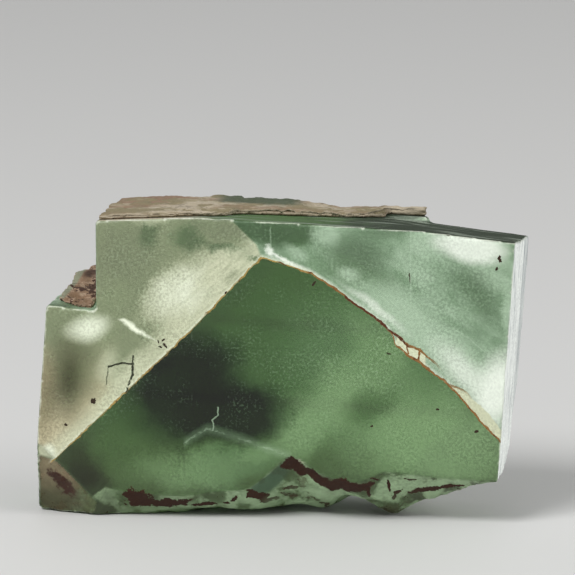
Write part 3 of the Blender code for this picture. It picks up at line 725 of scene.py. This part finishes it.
def edge_sharpness(bm, rounds):
    """For each vertex, 0 on a flat and up to 1 on a sharp outer edge, spread a few cells inwards."""
    found = []
    for vert in bm.verts:
        turn = 1.0 - min(vert.normal.dot(face.normal) for face in vert.link_faces)
        outward = sum((vert.co - edge.other_vert(vert).co).dot(vert.normal) for edge in vert.link_edges)
        found.append(min(turn / 0.12, 1.0) if outward > 0 else 0.0)
    for _ in range(rounds):
        found = [
            max(found[vert.index], 0.62 * max(found[edge.other_vert(vert).index] for edge in vert.link_edges))
            for vert in bm.verts
        ]
    return found


def store(mesh, name, values):
    layer = mesh.attributes.new(name, "FLOAT", "POINT")
    layer.data.foreach_set("value", values)


def smooth_faces(mesh):
    mesh.polygons.foreach_set("use_smooth", [True] * len(mesh.polygons))


def crystal_regions(vert):
    """Which of the crystal's surfaces a vertex is on, each from 0 to 1."""
    place, normal = vert.co, vert.normal
    front = smoothstep(0.45, 0.8, -normal.y) * smoothstep(0.8, 0.3, (place.y - FRONT_Y) / MM)
    right = smoothstep(0.6, 0.85, normal.x) * smoothstep(27.0, 30.0, place.x / MM)
    top = smoothstep(0.6, 0.85, normal.z) * smoothstep(36.0, 38.0, place.z / MM)
    back = smoothstep(0.7, 0.9, normal.y)
    under = smoothstep(-0.05, -0.45, normal.z)
    chip = smoothstep(0.10, 0.20, -normal.x) * smoothstep(0.12, 0.22, -normal.z)
    chip *= smoothstep(0.5, 0.7, -normal.y) * smoothstep(14.0, 13.0, place.z / MM)
    return {"front": front, "right": right, "top": top, "back": back, "under": under, "chip": chip}


def crystal_inset(vert, region, sharp):
    """How far a vertex is set in: etched flats, chipped edges, fibres, terraces and ripples, in metres."""
    place = vert.co
    inset = 0.02 * (1.0 + ripple(place, 2.5 * MM))
    inset += sharp * (0.02 + 0.10 * max(ripple(place, 1.2 * MM), 0.0))
    inset += sharp * 0.30 * max(ripple(place, 3.0 * MM) - 0.35, 0.0)
    inset += region["right"] * 0.10 * (1.0 + ripple(place, 0.7 * MM, (1.0, 1.0, 22.0)))
    inset += region["top"] * 0.05 * (1.0 + ripple(place, 0.8 * MM, (16.0, 1.0, 1.0)))
    terrace = smoothstep(0.0, 0.06, ripple(place, 9.0 * MM, (1.0, 1.0, 0.6)))
    terrace += smoothstep(0.1, 0.15, ripple(place, 5.0 * MM, (1.8, 1.0, 0.5)))
    inset += region["back"] * 0.13 * terrace
    curved = region["under"]
    inset += curved * (0.16 * (1.0 + ripple(place, 2.2 * MM)) + 0.08 * (1.0 + ripple(place, 0.9 * MM)))
    inset += region["chip"] * 0.16 * (1.0 + ripple(place, 1.0 * MM))
    return inset * MM


def shape_crystal(settings):
    """The crystal's surface with its fine relief, kept inside the solid's own faces."""
    crystal = even_copy("fluorite_block", "crystal_body", settings.cell)
    bm = bmesh.new()
    bm.from_mesh(crystal.data)
    bm.normal_update()
    bm.verts.ensure_lookup_table()
    sharp = edge_sharpness(bm, rounds=2)
    regions = [crystal_regions(vert) for vert in bm.verts]
    moves = [
        -vert.normal * crystal_inset(vert, region, edge)
        for vert, region, edge in zip(bm.verts, regions, sharp)
    ]
    for vert, move in zip(bm.verts, moves):
        vert.co += move
        vert.co.z = max(vert.co.z, 0.0)
    bm.to_mesh(crystal.data)
    bm.free()
    for name in regions[0]:
        store(crystal.data, name, [region[name] for region in regions])
    store(crystal.data, "rim", sharp)
    smooth_faces(crystal.data)
    return crystal


def shape_crust(node, name, cell, roughness, crystal):
    """A crust with layered sides and a rough top, let down on to the crystal that carries it."""
    crust = even_copy(node, name, cell)
    mesh = crystal.data
    ground = BVHTree.FromPolygons([v.co for v in mesh.vertices], [p.vertices for p in mesh.polygons])
    ceiling = CAD_BOX[1].z
    bm = bmesh.new()
    bm.from_mesh(crust.data)
    bm.normal_update()
    bm.verts.ensure_lookup_table()
    sharp = edge_sharpness(bm, rounds=1)
    moves = []
    for vert, edge in zip(bm.verts, sharp):
        place, side = vert.co, 1.0 - abs(vert.normal.z)
        inset = side * 0.30 * (1.0 + ripple(place, 0.42 * MM, (14.0, 14.0, 1.0)))
        inset += edge * 0.22 * (1.0 + ripple(place, 0.9 * MM))
        if vert.normal.z > 0.0:
            inset += roughness * 0.45 * ripple(place, 3.0 * MM, (2.0, 1.0, 1.0))
            inset += roughness * 0.30 * ripple(place, 1.1 * MM)
            inset += roughness * 1.3 * max(ripple(place, 1.7 * MM) - 0.25, 0.0)
        moves.append(-vert.normal * inset * MM)
    for vert, move in zip(bm.verts, moves):
        vert.co += move
        hit = ground.ray_cast(vert.co + Vector((0.0, 0.0, 2.0 * MM)), Vector((0.0, 0.0, -1.0)))
        if hit[0] is not None:
            height = vert.co.z - hit[0].z
            vert.co.z -= let_down(height)
        vert.co.z = min(vert.co.z, ceiling)
    bm.to_mesh(crust.data)
    bm.free()
    store(crust.data, "rim", sharp)
    smooth_faces(crust.data)
    return crust


def let_down(height):
    """How far a crust's vertex is let down, by its height over the crystal, so that the gap closes."""
    gap, reach = 0.34 * MM, 0.9 * MM
    return gap * (1.0 - smoothstep(gap, reach, height))


def dress(obj, material, node):
    """Gives a piece its finish and lets it stand for a node."""
    obj.data.materials.clear()
    obj.data.materials.append(material)
    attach(obj, BODY)
    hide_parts(node)


class CrystalSettings(bpy.types.PropertyGroup):
    cell: FloatProperty(
        name="Net size", description="Distance between the points of the crystal's surface",
        default=0.42 * MM, min=0.3 * MM, unit="LENGTH",
    )
    bending: FloatProperty(
        name="Refraction", description="Index of refraction of fluorite", default=1.434, min=1.0, max=2.5,
    )
    cloudiness: FloatProperty(
        name="Cloudiness", description="Least share of the surface that is cloudy", default=0.30,
        min=0.0, max=1.0, subtype="FACTOR",
    )
    clear_gain: FloatProperty(
        name="Clear gain", description="How much paler the clear surface is than the cloudy one",
        default=3.2, min=0.0, max=10.0,
    )
    frosting: FloatProperty(
        name="Frosting", description="Strength of the etched relief", default=0.5, min=0.0, max=1.0,
        subtype="FACTOR",
    )
    depth_colour: FloatVectorProperty(
        name="Depth colour", description="Colour that the crystal takes on in depth",
        default=(0.42, 0.64, 0.40), min=0.0, max=1.0, subtype="COLOR",
    )
    depth_density: FloatProperty(
        name="Depth", description="How fast the crystal takes on its colour in depth, for each metre",
        default=85.0, min=0.0,
    )


class CrustSettings(bpy.types.PropertyGroup):
    cell: FloatProperty(
        name="Net size", description="Distance between the points of a crust's surface",
        default=0.24 * MM, min=0.15 * MM, unit="LENGTH",
    )
    roughness: FloatProperty(
        name="Roughness", description="Depth of the relief on a crust, in millimetres", default=0.5, min=0.0,
        max=1.0,
    )


class StageSettings(bpy.types.PropertyGroup):
    floor_colour: FloatVectorProperty(
        name="Floor", description="Colour of the floor", default=(0.62, 0.62, 0.61), min=0.0, max=1.0,
        subtype="COLOR",
    )
    azimuth: FloatProperty(
        name="Azimuth", description="How far the view comes from the right of the front face",
        default=math.radians(6.5), subtype="ANGLE",
    )
    elevation: FloatProperty(
        name="Elevation", description="How far the view looks down", default=math.radians(10.0),
        subtype="ANGLE",
    )
    lens_angle: FloatProperty(
        name="Angle of view", description="How wide the camera sees", default=math.radians(6.0),
        subtype="ANGLE",
    )
    distance: FloatProperty(
        name="Distance", description="From the camera to the front face", default=822.874 * MM, unit="LENGTH",
    )
    sky: FloatProperty(name="Sky", description="Strength of the even light all round", default=0.42, min=0.0)
    key: FloatProperty(
        name="Key light", description="Power of the main lamp", default=16.0, min=0.0, unit="POWER",
    )
    fill: FloatProperty(
        name="Fill light", description="Power of the second lamp", default=8.0, min=0.0, unit="POWER",
    )


class CRYSTAL_OT_body(bpy.types.Operator):
    """Makes the clear green crystal"""

    bl_idname = "crystal.body"
    bl_label = "Crystal"

    def execute(self, context):
        settings = context.scene.crystal_settings
        crystal = shape_crystal(settings)
        dress(crystal, crystal_material(settings), "fluorite_block")
        return {"FINISHED"}


class CRYSTAL_OT_crusts(bpy.types.Operator):
    """Makes the two weathered crusts on the crystal"""

    bl_idname = "crystal.crusts"
    bl_label = "Crusts"

    def execute(self, context):
        crystal = context.scene.objects.get("crystal_body")
        if crystal is None:
            raise RuntimeError("The crusts lie on the crystal, so the crystal is made first")
        settings = context.scene.crust_settings
        top = shape_crust("top_crust", "top_crust_stone", settings.cell, settings.roughness, crystal)
        colours = (CRUST_TAN, CRUST_PALE, CRUST_DARK, CRUST_PINK)
        tan = crust_material("tan crust", colours, 0.30, 1.0, TOP_STAINS)
        dress(top, tan, "top_crust")
        ledge = shape_crust("ledge_crust", "ledge_crust_stone", settings.cell, settings.roughness, crystal)
        colours = (LUMP_PINK, LUMP_PALE, LUMP_DARK, CRUST_PINK)
        brown = crust_material("brown crust", colours, 0.46, 0.0, LEDGE_STAINS_AND_SHADE)
        dress(ledge, brown, "ledge_crust")
        return {"FINISHED"}


def add_lamp(name, place, aim, size, power):
    lamp = bpy.data.lights.new(name, "AREA")
    lamp.shape = "DISK"
    lamp.size = size
    lamp.energy = power
    obj = bpy.data.objects.new(name, lamp)
    bpy.context.scene.collection.objects.link(obj)
    obj.location = place
    obj.rotation_euler = (Vector(aim) - Vector(place)).to_track_quat("-Z", "Y").to_euler()


class CRYSTAL_OT_stage(bpy.types.Operator):
    """Makes the floor, the lamps and the camera"""

    bl_idname = "crystal.stage"
    bl_label = "Stage"

    def execute(self, context):
        settings = context.scene.stage_settings
        bm = bmesh.new()
        bmesh.ops.create_circle(bm, cap_ends=True, segments=96, radius=4.0)
        mesh = bpy.data.meshes.new("floor")
        bm.to_mesh(mesh)
        bm.free()
        floor = bpy.data.objects.new("floor", mesh)
        context.scene.collection.objects.link(floor)
        mesh.materials.append(floor_material(settings.floor_colour))

        low, high = CAD_BOX
        look_at = Vector(((low.x + high.x) / 2 + 1.906 * MM, FRONT_Y, 36.0 * MM))
        azimuth, elevation = settings.azimuth, settings.elevation
        back = Vector((
            math.sin(azimuth) * math.cos(elevation),
            -math.cos(azimuth) * math.cos(elevation),
            math.sin(elevation),
        ))
        camera = bpy.data.cameras.new("camera")
        camera.angle = settings.lens_angle
        camera.clip_start = 0.01
        view = bpy.data.objects.new("camera", camera)
        context.scene.collection.objects.link(view)
        view.location = look_at + back * settings.distance
        view.rotation_euler = (-back).to_track_quat("-Z", "Y").to_euler()
        context.scene.camera = view

        centre = (0.0, 0.0, 0.025)
        add_lamp("key lamp", (-0.55, -0.8, 1.1), centre, 0.7, settings.key)
        add_lamp("fill lamp", (1.2, -0.3, 0.6), centre, 0.7, settings.fill)
        world = bpy.data.worlds.new("studio")
        world.use_nodes = True
        world.node_tree.nodes["Background"].inputs["Color"].default_value = (1.0, 1.0, 1.0, 1.0)
        world.node_tree.nodes["Background"].inputs["Strength"].default_value = settings.sky
        context.scene.world = world
        context.scene.view_settings.view_transform = "Standard"
        return {"FINISHED"}


class CRYSTAL_PT_pieces(bpy.types.Panel):
    """Lists the crystal's pieces and what can be changed on them"""

    bl_idname = "CRYSTAL_PT_pieces"
    bl_label = "Fluorite crystal"
    bl_space_type = "VIEW_3D"
    bl_region_type = "UI"
    bl_category = "Crystal"

    def draw(self, context):
        groups = (
            ("crystal.body", context.scene.crystal_settings),
            ("crystal.crusts", context.scene.crust_settings),
            ("crystal.stage", context.scene.stage_settings),
        )
        for operator, settings in groups:
            box = self.layout.box()
            box.operator(operator)
            for name in settings.__annotations__:
                box.prop(settings, name)


CLASSES = (
    CrystalSettings, CrustSettings, StageSettings,
    CRYSTAL_OT_body, CRYSTAL_OT_crusts, CRYSTAL_OT_stage, CRYSTAL_PT_pieces,
)


def register():
    for entry in CLASSES:
        bpy.utils.register_class(entry)
    bpy.types.Scene.crystal_settings = PointerProperty(type=CrystalSettings)
    bpy.types.Scene.crust_settings = PointerProperty(type=CrustSettings)
    bpy.types.Scene.stage_settings = PointerProperty(type=StageSettings)


def unregister():
    del bpy.types.Scene.stage_settings
    del bpy.types.Scene.crust_settings
    del bpy.types.Scene.crystal_settings
    for entry in reversed(CLASSES):
        bpy.utils.unregister_class(entry)


def main():
    register()
    bpy.ops.crystal.stage()
    bpy.ops.crystal.body()
    bpy.ops.crystal.crusts()
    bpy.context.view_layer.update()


if __name__ == "__main__":
    main()
